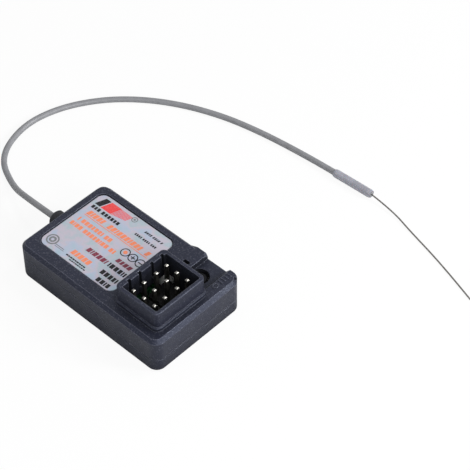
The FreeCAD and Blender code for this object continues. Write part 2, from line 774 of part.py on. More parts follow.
def contact_pin(label, x, y):
    """One square pin with a pointed tip, from its soldered tail up into the socket."""
    body = new_body(label)
    tail = "board_under - pin_tail"
    plan = rectangle(body, label + "_plan", "pin_side", "pin_side", (x, y, tail))
    shaft = pad(body, plan, "pin_tip - (%s)" % tail)
    chamfer(body, shaft, level(size_of("pin_tip")), "pin_point")
    return body


def chip(label, long, wide, rise, x, y, bevel="chip_bevel"):
    """A flat block on the board with a bevelled top."""
    body = new_body(label)
    plan = rectangle(body, label + "_plan", long, wide, (x, y, "board_top"))
    block = pad(body, plan, rise)
    doc.recompute()
    chamfer(body, block, level(block.Shape.BoundBox.ZMax), bevel)
    return body


def capacitor_foot():
    """The square plastic foot under the can, with the two corners on its near side cut off."""
    body = new_body("capacitor_foot")
    plan = outline(body, "foot_plan", (
        ("1 * foot_cut", "0"), ("foot_side - foot_cut", "0"), ("1 * foot_side", "1 * foot_cut"),
        ("1 * foot_side", "1 * foot_side"), ("0", "1 * foot_side"), ("0", "1 * foot_cut")),
        ("can_x - foot_side / 2", "can_y - foot_side / 2", "board_top"))
    pad(body, plan, "can_foot")
    return body


def capacitor_can():
    body, turn = turned("capacitor_can", (
        ("0", "0"), ("can_wide / 2", "0"), ("can_wide / 2", "can_tall - can_round"),
        ("can_wide / 2 - can_round", "1 * can_tall"), ("0", "1 * can_tall")))
    return put(body, "can_x", "can_y", "board_top + can_foot")


# The button and its switch

def switch_base():
    body = new_body("switch_base")
    plan = rectangle(body, "switch_plan", "switch_side", "switch_side",
                     ("button_x", "button_y", "board_top"))
    pad(body, plan, "switch_rise")
    well = disc(body, "switch_well_plan", "switch_well", ("button_x", "button_y", "switch_top"))
    pocket(body, well, "switch_rise - switch_base")
    return body


def switch_plate():
    """The metal plate that holds the button in its well."""
    body = new_body("switch_plate")
    plan = rectangle(body, "plate_plan", "switch_side", "switch_side",
                     ("button_x", "button_y", "switch_top"))
    pad(body, plan, "plate_thick")
    hole = disc(body, "plate_hole_plan", "plate_hole",
                ("button_x", "button_y", "switch_top + plate_thick"))
    pocket(body, hole, "2 * plate_thick")
    return body


def button():
    """The button: a flange that the plate holds down and a round stem up to the strip's hole."""
    body, turn = turned("button", (
        ("0", "flange_top - flange_thick"), ("flange_wide / 2", "flange_top - flange_thick"),
        ("flange_wide / 2", "flange_top"), ("button_wide / 2", "flange_top"),
        ("button_wide / 2", "button_top - button_round"),
        ("button_wide / 2 - button_round", "button_top * 1"), ("0", "button_top * 1")))
    return put(body, "button_x", "button_y")


def contact_dome():
    """The sprung dome between the well's floor and the button."""
    rise = "(flange_top - flange_thick - switch_play - well_floor - dome_thick)"
    body, turn = turned("contact_dome", (
        ("switch_well * 0.42", "0"), ("switch_well * 0.45", "0"),
        ("switch_well * 0.3", rise + " * 0.72 + dome_thick"), ("0", rise + " + dome_thick"),
        ("0", rise), ("switch_well * 0.28", rise + " * 0.72")))
    return put(body, "button_x", "button_y", "well_floor")


# The gland and the aerial

def cable_grommet():
    """The round gland: a flange inside the wall, a neck through it and the nose outside."""
    inner, outer = "gland_flange_thick", "gland_flange_thick + side_wall"
    bore = "coax_wide / 2 + coax_play"
    body, turn = turned("cable_grommet", (
        ("0", bore), (outer + " + gland_out", bore),
        (outer + " + gland_out", "gland_wide / 2 - gland_round"),
        (outer + " + gland_out - gland_round", "gland_wide / 2"),
        (outer, "gland_wide / 2"), (outer, "gland_neck / 2"), ("1 * " + inner, "gland_neck / 2"),
        ("1 * " + inner, "gland_flange / 2"), ("0", "gland_flange / 2")), axis="H_Axis")
    body.Placement = Placement(Vector(0, 0, 0), Rotation(Vector(0, 0, 1), 180))
    return put(body, "-1 * case_length / 2 + side_wall + gland_flange_thick", "0", "seam_rear")


def tube_path(points):
    """Straight runs joined by tangent arcs, each as large as its two runs allow."""
    spots = [Vector(*point) for point in points]
    edges, radii, start = [], [], spots[0]
    for before, corner, after in zip(spots, spots[1:], spots[2:]):
        into, out = (corner - before), (after - corner)
        turn = into.getAngle(out)
        reach = 0.45 * min(into.Length, out.Length)
        radii.append(reach / math.tan(turn / 2))
        into.normalize()
        out.normalize()
        first, last = corner - into * reach, corner + out * reach
        bend = (out - into).normalize()
        middle = corner + bend * (reach * math.tan(turn / 4))
        edges.append(Part.LineSegment(start, first).toShape())
        edges.append(Part.Arc(first, middle, last).toShape())
        start = last
    edges.append(Part.LineSegment(start, spots[-1]).toShape())
    return Part.Wire(edges), radii


def cord(label, points, diameter):
    """A cord's tube along its route. Its radii and its length are printed."""
    wire, radii = tube_path(points)
    start = Vector(*points[0])
    heading = Vector(*points[1]) - start
    section = Part.Wire(Part.Circle(start, heading, diameter / 2).toShape())
    shape = Part.Wire(wire).makePipeShell([section], True, False)
    piece = doc.addObject("Part::Feature", label)
    piece.Label = label
    piece.Shape = shape
    piece.Placement = Placement()
    ideal = math.pi * diameter ** 2 / 4 * wire.Length
    print("%s: length %.1f, least radius %.1f, volume over section times length %.4f"
          % (label, wire.Length, min(radii) if radii else 0.0, shape.Volume / ideal))
    print("  radii", ["%.0f" % radius for radius in radii])
    return piece


def aerial():
    """The coax along the table, the sleeve near its end and the bare wire beyond."""
    coax, sleeve, tip = size_of("coax_wide"), size_of("sleeve_wide"), size_of("tip_wide")
    nose = (-size_of("case_length") / 2 - size_of("gland_out"), 0.0, size_of("seam_rear"))
    lying, carried, bare = coax / 2 + 0.02, sleeve / 2 + 0.02, tip / 2 + 0.02
    end = (16.8, 47.8, carried)
    route = [nose, (-27.4, 0.3, 4.1), (-34.9, 2.6, lying), (-42.6, 6.3, lying), (-46.0, 15.0, lying),
             (-44.8, 23.2, lying), (-40.6, 30.8, lying), (-34.7, 36.7, lying), (-27.5, 41.2, lying),
             (-19.2, 44.4, lying), (-11.0, 46.1, lying), (-2.2, 47.1, lying), (7.4, 47.5, carried), end]
    beyond = [end, (22.3, 47.5, 0.45), (28.0, 45.9, bare), (34.4, 44.2, bare), (40.8, 42.2, bare),
              (46.6, 40.2, bare)]
    on_board = size_of("board_top") + coax / 2
    inside = [nose, (-14.2, 0.0, nose[2]), (-8.9, 0.0, on_board), (-5.7, 0.0, on_board)]
    pieces = [cord("antenna_coax", route, coax), cord("antenna_tip", beyond, tip)]
    pieces.append(cord("antenna_tail", inside, coax))

    heading = (Vector(*end) - Vector(*route[-2])).normalize()
    long = size_of("sleeve_length")
    start = Vector(*end) - heading * long
    tube = doc.addObject("Part::Feature", "antenna_sleeve")
    tube.Label = "antenna_sleeve"
    tube.Shape = Part.makeCylinder(sleeve / 2, long, start, heading).cut(
        Part.makeCylinder(coax / 2 + size_of("coax_play"), long, start, heading))
    tube.Placement = Placement()
    return pieces + [tube]


NODES = [top_cover(), bottom_case(), label_sticker(), circuit_board()]
NODES += [header_block("header_near", 0), header_block("header_far", 2)]
for row, across in enumerate(PIN_ROWS, start=1):
    for column in (1, 2, 3):
        along = "socket_x + %d * pitch" % (column - 2)
        NODES.append(contact_pin("pin_%d_%d" % (row, column), along, across))
NODES += [case_screw("screw_near", -1), case_screw("screw_far", 1)]
NODES += [capacitor_foot(), capacitor_can(),
          chip("controller_chip", "chip_side", "chip_side", "chip_rise", "chip_x", "chip_y"),
          chip("radio_chip", "radio_side", "radio_side", "radio_rise", "radio_x", "radio_y"),
          chip("crystal", "crystal_long", "crystal_wide", "crystal_rise", "radio_x", "crystal_y"),
          chip("status_lamp", "lamp_wide", "lamp_long", "lamp_rise", "lamp_x", "lamp_y", "lamp_bevel")]
NODES += [switch_base(), switch_plate(), button(), contact_dome(), cable_grommet()]
NODES += aerial()

doc.recompute()
failed = [thing.Name for thing in doc.Objects if "Invalid" in thing.State or "Error" in thing.State]
if failed:
    raise RuntimeError("failed: " + ", ".join(failed))
for node in NODES:
    if node.Shape.isNull() or not node.Shape.isValid():
        raise RuntimeError("bad shape: " + node.Label)

os.makedirs("parts", exist_ok=True)
for node in NODES:
    node.Shape.exportStep("parts/%s.step" % node.Label)
    box = node.Shape.BoundBox
    print("%-16s solids %d volume %8.2f  x %.2f..%.2f y %.2f..%.2f z %.2f..%.2f" % (
        node.Label, len(node.Shape.Solids), node.Shape.Volume, box.XMin, box.XMax,
        box.YMin, box.YMax, box.ZMin, box.ZMax))
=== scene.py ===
# %% [markdown]
# # A small radio-control receiver
# The receiver is a black plastic box about as long as a thumb joint. Its lid has a
# square collar over four rows of pins, a silver label, and a lowered strip with a
# small button. A thin grey aerial cable leaves the rear end and lies on the table.
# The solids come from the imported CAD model, so every size is already right. This
# lesson gives them their finishes, and models what the solids leave out.

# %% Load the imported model
import bpy
import math
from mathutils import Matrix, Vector


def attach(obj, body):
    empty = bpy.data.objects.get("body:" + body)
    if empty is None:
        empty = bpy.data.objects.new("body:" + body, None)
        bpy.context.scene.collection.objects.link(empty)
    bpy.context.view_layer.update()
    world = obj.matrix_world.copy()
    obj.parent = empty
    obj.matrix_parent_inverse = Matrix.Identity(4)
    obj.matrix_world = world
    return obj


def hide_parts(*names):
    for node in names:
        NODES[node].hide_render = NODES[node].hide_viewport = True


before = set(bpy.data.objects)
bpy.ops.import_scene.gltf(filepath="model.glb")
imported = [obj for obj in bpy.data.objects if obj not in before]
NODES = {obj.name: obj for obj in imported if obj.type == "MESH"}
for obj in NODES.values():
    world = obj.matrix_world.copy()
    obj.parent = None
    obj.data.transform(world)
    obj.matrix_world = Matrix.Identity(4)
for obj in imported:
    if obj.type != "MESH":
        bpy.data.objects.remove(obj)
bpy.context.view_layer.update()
MM = 0.001
SMOOTH_BELOW = math.radians(40)
print("CAD nodes:", len(NODES))

# %% [markdown]
# ## A few hands
# Operators act on whatever is selected, so one helper clears the selection and picks
# the objects to work on. Sizes in this lesson are written in millimetres, as a model
# maker thinks of them, and turned into metres where they meet Blender.

# %% Helpers for selecting and placing


def mm(*values):
    return tuple(value * MM for value in values)


def pick(*objects):
    """Select only these objects, the first one active."""
    for thing in bpy.context.selected_objects:
        thing.select_set(False)
    for thing in objects:
        thing.select_set(True)
    bpy.context.view_layer.objects.active = objects[0] if objects else None


def settle(thing):
    """Put the object's place into its mesh, so that its origin is the world's."""
    pick(thing)
    bpy.ops.object.transform_apply(location=True, rotation=True, scale=True)


def apply_modifier(thing, kind, **settings):
    pick(thing)
    modifier = thing.modifiers.new(kind.title(), kind)
    for name, value in settings.items():
        setattr(modifier, name, value)
    bpy.ops.object.modifier_apply(modifier=modifier.name)


def set_material(thing, material):
    thing.data.materials.clear()
    thing.data.materials.append(material)


# %% [markdown]
# ## The camera
# The photograph was taken from above one corner, with a long lens. The camera stands
# about 31 cm away and looks down at 47 degrees. Its place was worked out from the
# corners of the case, the rows of pins and the outline, so the render lies on the
# photograph.

# %% Camera
AZIMUTH, ELEVATION = 43.24, 46.79
SENSOR_WIDE = 36
FOCAL_PIXELS, PICTURE_PIXELS = 1738.649, 470
bpy.ops.object.camera_add(
    location=mm(156.987, -139.218, 236.844),
    rotation=(math.radians(90 - ELEVATION), 0, math.radians(AZIMUTH)))
camera = bpy.context.object
camera.name = "camera"
camera.data.sensor_width = SENSOR_WIDE
camera.data.lens = SENSOR_WIDE * FOCAL_PIXELS / PICTURE_PIXELS
camera.data.clip_start = 0.01
camera.data.dof.use_dof = False
bpy.context.scene.camera = camera
print("lens %.1f mm" % camera.data.lens)

# %% [markdown]
# ## The table and the light
# A product photograph like this one has a white table that runs into a white
# background. The floor takes the shadows, and only to the camera's eye it glows, so
# that it stays white without flooding the object with light. The backdrop is brighter
# to the eye and in mirrors than as a lamp. Light Path tells these rays apart.

# %% Floor and world
FLOOR_SIZE, FLOOR_DROP = 6, 0.00002
FLOOR_GLOW = 0.90
WORLD_LIGHT, WORLD_SEEN = 0.42, 1.0
bpy.context.scene.view_settings.view_transform = "Standard"
bpy.ops.mesh.primitive_plane_add(size=FLOOR_SIZE, location=(0, 0, -FLOOR_DROP))
floor = bpy.context.object
floor.name = "floor"


def seen_directly(tree):
    """Is this a ray that shows the surface itself: from the camera, a mirror or glass?"""
    path = tree.nodes.new("ShaderNodeLightPath")
    first = tree.nodes.new("ShaderNodeMath")
    first.operation = "MAXIMUM"
    second = tree.nodes.new("ShaderNodeMath")
    second.operation = "MAXIMUM"
    tree.links.new(path.outputs["Is Camera Ray"], first.inputs[0])
    tree.links.new(path.outputs["Is Glossy Ray"], first.inputs[1])
    tree.links.new(first.outputs[0], second.inputs[0])
    tree.links.new(path.outputs["Is Transmission Ray"], second.inputs[1])
    return second.outputs[0]


floor_paper = bpy.data.materials.new("floor_paper")
floor_paper.use_nodes = True
tree = floor_paper.node_tree
paper = tree.nodes["Principled BSDF"]
paper.inputs["Base Color"].default_value = (0.80, 0.80, 0.80, 1)
paper.inputs["Roughness"].default_value = 0.9
paper.inputs["Specular IOR Level"].default_value = 0.1
glow = tree.nodes.new("ShaderNodeEmission")
glow.inputs["Color"].default_value = (1, 1, 1, 1)
glow.inputs["Strength"].default_value = 1.0
share = tree.nodes.new("ShaderNodeMath")
share.operation = "MULTIPLY"
share.inputs[1].default_value = FLOOR_GLOW
mixed = tree.nodes.new("ShaderNodeMixShader")
ray = tree.nodes.new("ShaderNodeLightPath")
tree.links.new(ray.outputs["Is Camera Ray"], share.inputs[0])
tree.links.new(share.outputs[0], mixed.inputs[0])
tree.links.new(paper.outputs[0], mixed.inputs[1])
tree.links.new(glow.outputs[0], mixed.inputs[2])
tree.links.new(mixed.outputs[0], tree.nodes["Material Output"].inputs["Surface"])
set_material(floor, floor_paper)

world = bpy.data.worlds.new("studio")
bpy.context.scene.world = world
world.use_nodes = True
tree = world.node_tree
backdrop = tree.nodes["Background"]
backdrop.inputs["Color"].default_value = (1, 1, 1, 1)
level = tree.nodes.new("ShaderNodeMapRange")
level.inputs["To Min"].default_value = WORLD_LIGHT
level.inputs["To Max"].default_value = WORLD_SEEN
tree.links.new(seen_directly(tree), level.inputs["Value"])
tree.links.new(level.outputs["Result"], backdrop.inputs["Strength"])

# %% [markdown]
# A few soft boxes do the work. A large one high on the left gives the long side of the
# case its form, one on the right lights the socket's end, two behind draw the pale
# edges of the collar, and a small one in front reaches down between the pins.

# %% Soft boxes


def softbox(name, where, side, watts, aim=(0, 10, 4)):
    """A square area lamp that faces the object. Place and side are in millimetres."""
    bpy.ops.object.light_add(type="AREA", location=mm(*where))
    lamp = bpy.context.object
    lamp.name = name
    lamp.data.shape = "SQUARE"
    lamp.data.size = side * MM
    lamp.data.energy = watts
    facing = Vector(mm(*where)) - Vector(mm(*aim))
    lamp.rotation_euler = facing.to_track_quat("Z", "Y").to_euler()


SOFT_BOXES = (
    ("key_box", (-150, -60, 480), 320, 0.12),
    ("rim_box", (380, 260, 250), 110, 1.5),
    ("top_rim_box", (130, 229, 448), 90, 0.45),
    ("fill_box", (455, -90, 290), 220, 1.45),
    ("front_box", (230, -225, 380), 110, 0.25))
for name, where, side, watts in SOFT_BOXES:
    softbox(name, where, side, watts)

# %% [markdown]
# ## Building finishes out of nodes
# Every finish here is worked out by nodes, with no pictures. Some effects come back in
# many finishes: the fine grain of a moulding, pale highlights painted along edges,
# shade painted into crevices, brushing on metal, dust. Each is a node group with named
# sockets, built once and placed in each material with its own values. A few helpers
# keep the wiring short.

# %% Helpers for nodes


ROUNDING_SAMPLES = 4


def add_node(tree, kind, feeds=None, **settings):
    """Add a node, make its settings, and feed its inputs with values or with other sockets."""
    made = tree.nodes.new("ShaderNode" + kind)
    for name, value in settings.items():
        setattr(made, name, value)
    for name, source in (feeds or {}).items():
        if isinstance(source, bpy.types.NodeSocket):
            tree.links.new(source, made.inputs[name])
        else:
            made.inputs[name].default_value = source
    return made


def math_node(tree, operation, first, second=0.5):
    return add_node(tree, "Math", {0: first, 1: second}, operation=operation).outputs[0]


def spread(tree, value, start, end, low=0.0, high=1.0):
    """Stretch the part of a value between start and end over low to high."""
    stretched = add_node(tree, "MapRange", {
        "Value": value, "From Min": start, "From Max": end, "To Min": low, "To Max": high})
    return stretched.outputs["Result"]


def blend(tree, share, low, high):
    """Mix two colours."""
    return add_node(tree, "Mix", {0: share, 6: low, 7: high}, data_type="RGBA").outputs[2]


def noise(tree, where, scale, detail=2.0, roughness=0.5):
    return add_node(tree, "TexNoise", {
        "Vector": where, "Scale": scale, "Detail": detail, "Roughness": roughness}).outputs["Fac"]


def rounded_normal(tree, radius):
    """The surface's normal, with the edges rounded for the light alone."""
    return add_node(tree, "Bevel", {"Radius": radius}, samples=ROUNDING_SAMPLES).outputs[0]


def new_group(name, inputs, outputs):
    """An empty node group with named inputs, each with a kind and a value, and named outputs."""
    group = bpy.data.node_groups.new(name, "ShaderNodeTree")
    for socket, kind, value in inputs:
        made = group.interface.new_socket(
            name=socket, in_out="INPUT", socket_type="NodeSocket" + kind)
        made.default_value = value
    for socket, kind in outputs:
        group.interface.new_socket(name=socket, in_out="OUTPUT", socket_type="NodeSocket" + kind)
    given = group.nodes.new("NodeGroupInput").outputs
    puts = group.nodes.new("NodeGroupOutput").inputs
    return group, given, puts


def use_group(tree, group, **values):
    """Place a group in a tree. A socket's name is written with underscores for its spaces."""
    feeds = {socket.replace("_", " "): value for socket, value in values.items()}
    return add_node(tree, "Group", feeds, node_tree=group).outputs


def colour(red, green, blue):
    return (red, green, blue, 1)


def new_finish(name, **sockets):
    """A material whose Principled shader has these plain values on its own sockets."""
    material = bpy.data.materials.new(name)
    material.use_nodes = True
    shader = material.node_tree.nodes["Principled BSDF"]
    for socket, value in sockets.items():
        shader.inputs[socket.replace("_", " ")].default_value = value
    return material, material.node_tree, shader.inputs


def object_place(tree):
    return add_node(tree, "TexCoord").outputs["Object"]


# %% [markdown]
# ### Moulded grain
# The case has the fine, even grain that a sparked steel mould leaves on plastic. Close
# up it is a field of tiny bumps. The Specks mask picks some of them, and the plastics
# paint those pale as glints, a painted highlight. The Bevel node rounds the sharp edges
# of the solids for the light alone, so that every edge of the case gets its thin satin
# line.

# %% Node group: moulded grain
moulded_grain, given, puts = new_group(
    "moulded_grain",
    (("Grain Size", "Float", 0.00012), ("Depth", "Float", 0.4), ("Edge Radius", "Float", 0.00012)),
    (("Normal", "Vector"), ("Specks", "Float"), ("Patches", "Float")))
inside = moulded_grain
place = object_place(inside)
fineness = math_node(inside, "DIVIDE", 1.0, given["Grain Size"])
bumps = noise(inside, place, fineness, 2.0, 0.6)
rounded = rounded_normal(inside, given["Edge Radius"])
height = math_node(inside, "MULTIPLY", given["Grain Size"], 0.25)
bump = add_node(inside, "Bump", {
    "Strength": given["Depth"], "Distance": height, "Height": bumps, "Normal": rounded})
inside.links.new(bump.outputs[0], puts["Normal"])
specks = noise(inside, place, math_node(inside, "MULTIPLY", fineness, 0.9), 2.0, 0.6)
# The plastics paint these specks pale, as glints.
inside.links.new(spread(inside, specks, 0.56, 0.70), puts["Specks"])
inside.links.new(spread(inside, noise(inside, place, 260.0, 3.0), 0.3, 0.7), puts["Patches"])
print("group", inside.name, "with", len(inside.nodes), "nodes")

# %% [markdown]
# ### Painted edge highlights
# A thin pale line is painted along the edges of a dark moulding, a painted highlight
# where the edges would catch the light, and the edges are made a little smoother too.
# The group compares the true normal with one rounded by the Bevel node: they differ
# only near an edge. Noise breaks the line up, so that it is not even.

# %% Node group: painted edge highlights
painted_edge_highlight, given, puts = new_group(
    "painted_edge_highlight",
    (("Width", "Float", 0.00025), ("Patchiness", "Float", 0.5)),
    (("Mask", "Float"),))
inside = painted_edge_highlight
wide_normal = rounded_normal(inside, given["Width"])
true_normal = add_node(inside, "NewGeometry").outputs["Normal"]
likeness = add_node(inside, "VectorMath", {0: wide_normal, 1: true_normal}, operation="DOT_PRODUCT")
edge = spread(inside, likeness.outputs["Value"], 0.985, 0.90)
broken = spread(inside, noise(inside, object_place(inside), 900.0, 4.0, 0.65), 0.35, 0.6)
kept = math_node(inside, "SUBTRACT", 1.0, given["Patchiness"])
uneven = add_node(
    inside, "Math", {0: broken, 1: given["Patchiness"], 2: kept}, operation="MULTIPLY_ADD")
# The mask says where a pale highlight line is painted along the edges.
inside.links.new(math_node(inside, "MULTIPLY", edge, uneven.outputs[0]), puts["Mask"])

# %% [markdown]
# ### Painted crevice shade
# Where two surfaces meet in a corner or a narrow groove, little light gets in, and the
# group paints that shade into the colour. The Ambient Occlusion node measures how
# closed in a spot is, and the group turns that into a mask of painted shade for the
# seam, the label's recess and the foot of the collar.

# %% Node group: painted crevice shade
painted_crevice_shade, given, puts = new_group(
    "painted_crevice_shade", (("Reach", "Float", 0.0006),), (("Mask", "Float"),))
inside = painted_crevice_shade
openness = add_node(
    inside, "AmbientOcclusion", {"Distance": given["Reach"]}, samples=ROUNDING_SAMPLES)
# The mask says where shade is painted into the colour.
inside.links.new(spread(inside, openness.outputs["AO"], 0.85, 0.35), puts["Mask"])

# %% [markdown]
# ### Settled dust
# Even a clean product has a breath of dust on what faces up. The mask follows the
# normal's upward part and clumps a little.

# %% Node group: settled dust
settled_dust, given, puts = new_group(
    "settled_dust", (("Amount", "Float", 0.1),), (("Mask", "Float"),))
inside = settled_dust
heading = add_node(inside, "SeparateXYZ", {0: add_node(inside, "NewGeometry").outputs["Normal"]})
faces_up = spread(inside, heading.outputs["Z"], 0.5, 1.0)
motes = spread(inside, noise(inside, object_place(inside), 3500.0, 3.0, 0.7), 0.52, 0.72)
cloud = spread(inside, noise(inside, object_place(inside), 140.0, 2.0), 0.35, 0.7, 0.25, 1.0)
settled = math_node(inside, "MULTIPLY", math_node(inside, "MULTIPLY", motes, cloud), faces_up)
inside.links.new(math_node(inside, "MULTIPLY", settled, given["Amount"]), puts["Mask"])

# %% [markdown]
# ### Drawn streaks
# Pins are cut from drawn wire, cans are pressed from rolled sheet and a cable jacket is
# pushed through a die. All three leave faint streaks that run one way. Noise squeezed
# by a Mapping node makes them: the direction with the smallest scale is the one along
# which they run.

# %% Node group: drawn streaks
drawn_streaks, given, puts = new_group(
    "drawn_streaks", (("Squeeze", "Vector", (1.0, 1.0, 0.05)), ("Fineness", "Float", 9000.0)),
    (("Streaks", "Float"), ("Smears", "Float")))
inside = drawn_streaks
place = object_place(inside)
squeezed = add_node(inside, "Mapping", {"Vector": place, "Scale": given["Squeeze"]}).outputs[0]
streaks = noise(inside, squeezed, given["Fineness"], 3.0, 0.6)
inside.links.new(spread(inside, streaks, 0.3, 0.7), puts["Streaks"])
inside.links.new(spread(inside, noise(inside, place, 600.0, 2.0), 0.35, 0.65), puts["Smears"])

# %% [markdown]
# ## The plastics
# One recipe serves every moulding: a dark and a slightly paler tone of the same
# plastic, mixed by grain and patches, pale specks and edges painted in a highlight
# tone, shade painted into crevices, and dust. The painted shade is looked for at two
# reaches, a short one for seams and a long one for the depth of the socket. The case
# is a blue-black charcoal. The headers and chips are blacker, the button duller, and
# the gland softer.

# %% Moulded plastics
PATCH_SHARE, SPECK_SHARE = 0.4, 0.3
EDGE_LINE_WIDTH, EDGE_LINE_PATCHINESS, EDGE_LINE_POLISH = 0.00020, 0.35, -0.22
SEAM_REACH, SOCKET_REACH, CREVICE_DULL = 0.0007, 0.0080, 0.4
DUST_TONE, PAINTED_SHADE_TONE = colour(0.32, 0.31, 0.30), colour(0.001, 0.001, 0.0015)


def moulded(name, dark, pale, highlight_tone, rough=(0.44, 0.56), grain=0.00012, depth=0.4, edge=0.00012,
            edge_highlight_share=0.3, dust=0.08, **sockets):
    """A moulded plastic: two tones, grain, painted highlights on specks and edges, painted shade in
    crevices and a little dust.
    """
    material, tree, shader = new_finish(name, **sockets)
    skin = use_group(tree, moulded_grain, Grain_Size=grain, Depth=depth, Edge_Radius=edge)
    edge_highlight = use_group(tree, painted_edge_highlight, Width=EDGE_LINE_WIDTH, Patchiness=EDGE_LINE_PATCHINESS)["Mask"]
    film = use_group(tree, settled_dust, Amount=dust)["Mask"]
    tone = blend(tree, math_node(tree, "MULTIPLY", skin["Patches"], PATCH_SHARE), dark, pale)
    # Painted highlight: pale specks on the grain, as glints.
    tone = blend(tree, math_node(tree, "MULTIPLY", skin["Specks"], SPECK_SHARE), tone, highlight_tone)
    # Painted highlight: a pale line along the edges, in the highlight tone.
    tone = blend(tree, math_node(tree, "MULTIPLY", edge_highlight, edge_highlight_share), tone, highlight_tone)
    tone = blend(tree, film, tone, DUST_TONE)
    seam_shade = use_group(tree, painted_crevice_shade, Reach=SEAM_REACH)["Mask"]
    socket_shade = use_group(tree, painted_crevice_shade, Reach=SOCKET_REACH)["Mask"]
    painted_shade = math_node(tree, "MAXIMUM", seam_shade, socket_shade)
    # Painted shade: seams, recesses and the socket's depth are darkened in the colour.
    tree.links.new(blend(tree, painted_shade, tone, PAINTED_SHADE_TONE), shader["Base Color"])
    matt = spread(tree, skin["Patches"], 0.0, 1.0, *rough)
    smoothed = math_node(tree, "MULTIPLY", edge_highlight, EDGE_LINE_POLISH)
    dulled = math_node(tree, "MULTIPLY", painted_shade, CREVICE_DULL)
    finish = math_node(tree, "ADD", math_node(tree, "ADD", matt, smoothed), dulled)
    tree.links.new(finish, shader["Roughness"])
    tree.links.new(skin["Normal"], shader["Normal"])
    return material


# The third tone of each moulding is its painted highlight, for pale specks and edges.
case_plastic = moulded(
    "case_plastic", colour(0.0060, 0.0068, 0.0150), colour(0.0105, 0.0118, 0.0250),
    colour(0.170, 0.180, 0.230), rough=(0.38, 0.48), grain=0.00026, depth=0.6, edge=0.00026,
    edge_highlight_share=0.85, Specular_IOR_Level=0.36, Specular_Tint=colour(0.72, 0.79, 1.0))
header_plastic = moulded(
    "header_plastic", colour(0.0050, 0.0050, 0.0055), colour(0.0090, 0.0090, 0.0100),
    colour(0.030, 0.030, 0.032), rough=(0.42, 0.52), grain=0.00010, Specular_IOR_Level=0.35)
chip_plastic = moulded(
    "chip_plastic", colour(0.010, 0.010, 0.011), colour(0.018, 0.018, 0.019),
    colour(0.040, 0.040, 0.042), rough=(0.50, 0.62), grain=0.00008, depth=0.6)
button_plastic = moulded(
    "button_plastic", colour(0.0060, 0.0060, 0.0080), colour(0.0090, 0.0090, 0.0115),
    colour(0.030, 0.031, 0.038), rough=(0.42, 0.52), grain=0.00009, depth=0.2, edge=0.00020,
    dust=0.02, Specular_IOR_Level=0.12)
grommet_rubber = moulded(
    "grommet_rubber", colour(0.0060, 0.0064, 0.0100), colour(0.0110, 0.0116, 0.0170),
    colour(0.050, 0.053, 0.070), rough=(0.50, 0.62), grain=0.00024, depth=0.8, edge=0.00035,
    Specular_IOR_Level=0.35)
print("plastics:", case_plastic.name, header_plastic.name, chip_plastic.name)

# %% [markdown]
# ## The metals
# Tinned pins, an aluminium can, steel screws and the switch's steel plate differ in
# tone and polish, and share their streaks. The can is near white and almost without
# metal, a painted sheen in place of its reflections. The pins are bright only at their
# cut tips, because their sides mirror the black socket.

# %% Metals


def drawn_metal(name, dark, pale, rough, squeeze, metallic=1.0, edge=0.00006):
    """A metal with streaks of two tones, uneven polish and its edges rounded for the light."""
    material, tree, shader = new_finish(name, Metallic=metallic)
    lines = use_group(tree, drawn_streaks, Squeeze=squeeze)
    tree.links.new(blend(tree, lines["Streaks"], dark, pale), shader["Base Color"])
    polish = add_node(tree, "Math", {0: lines["Streaks"], 1: 0.4, 2: math_node(
        tree, "MULTIPLY", lines["Smears"], 0.6)}, operation="MULTIPLY_ADD").outputs[0]
    tree.links.new(spread(tree, polish, 0.0, 1.0, *rough), shader["Roughness"])
    bump = add_node(tree, "Bump", {
        "Strength": 0.12, "Distance": 0.00001, "Height": lines["Streaks"],
        "Normal": rounded_normal(tree, edge)})
    tree.links.new(bump.outputs[0], shader["Normal"])
    return material


UPRIGHT, LEVEL = (1.0, 1.0, 0.05), (0.05, 1.0, 1.0)
pin_metal = drawn_metal(
    "pin_metal", colour(0.14, 0.135, 0.125), colour(0.24, 0.235, 0.220), (0.32, 0.44), UPRIGHT)
# Near white and barely metallic: a painted sheen in place of the can's reflections.
can_aluminium = drawn_metal(
    "can_aluminium", colour(0.90, 0.91, 0.92), colour(0.97, 0.97, 0.97), (0.30, 0.42), UPRIGHT,
    metallic=0.05)
screw_steel = drawn_metal(
    "screw_steel", colour(0.18, 0.18, 0.19), colour(0.30, 0.30, 0.31), (0.28, 0.42), LEVEL)
plate_steel = drawn_metal(
    "plate_steel", colour(0.48, 0.48, 0.47), colour(0.62, 0.62, 0.61), (0.25, 0.38), LEVEL)
wire_metal = drawn_metal(
    "wire_metal", colour(0.10, 0.095, 0.09), colour(0.20, 0.19, 0.18), (0.35, 0.50),
    (1.0, 1.0, 1.0), metallic=0.7)

# %% [markdown]
# ## The board
# A green solder mask lies over copper tracks, which show through as paler lines. Cells
# of a Voronoi texture choose whether the tracks run along or across in each little
# field, and Wave textures draw them.

# %% Board laminate
TRACK_SCALE = 420.0
board_laminate, tree, shader = new_finish("board_laminate", Coat_Weight=0.35, Coat_Roughness=0.2)
place = object_place(tree)
placed = {"Vector": place, "Scale": TRACK_SCALE}
fields = add_node(tree, "TexVoronoi", placed, distance="CHEBYCHEV")
along = add_node(tree, "TexWave", placed, bands_direction="X").outputs["Fac"]
across = add_node(tree, "TexWave", placed, bands_direction="Y").outputs["Fac"]
choice = math_node(tree, "GREATER_THAN", add_node(
    tree, "SeparateColor", {0: fields.outputs["Color"]}).outputs[0], 0.5)
lines = add_node(tree, "Mix", {0: choice, 2: along, 3: across}).outputs[0]
tracks = spread(tree, lines, 0.55, 0.62)
weave = noise(tree, place, 2600.0, 3.0)
mask_tone = blend(tree, weave, colour(0.008, 0.060, 0.022), colour(0.016, 0.095, 0.036))
shown = math_node(tree, "MULTIPLY", tracks, 0.7)
tree.links.new(blend(tree, shown, mask_tone, colour(0.05, 0.20, 0.075)), shader["Base Color"])
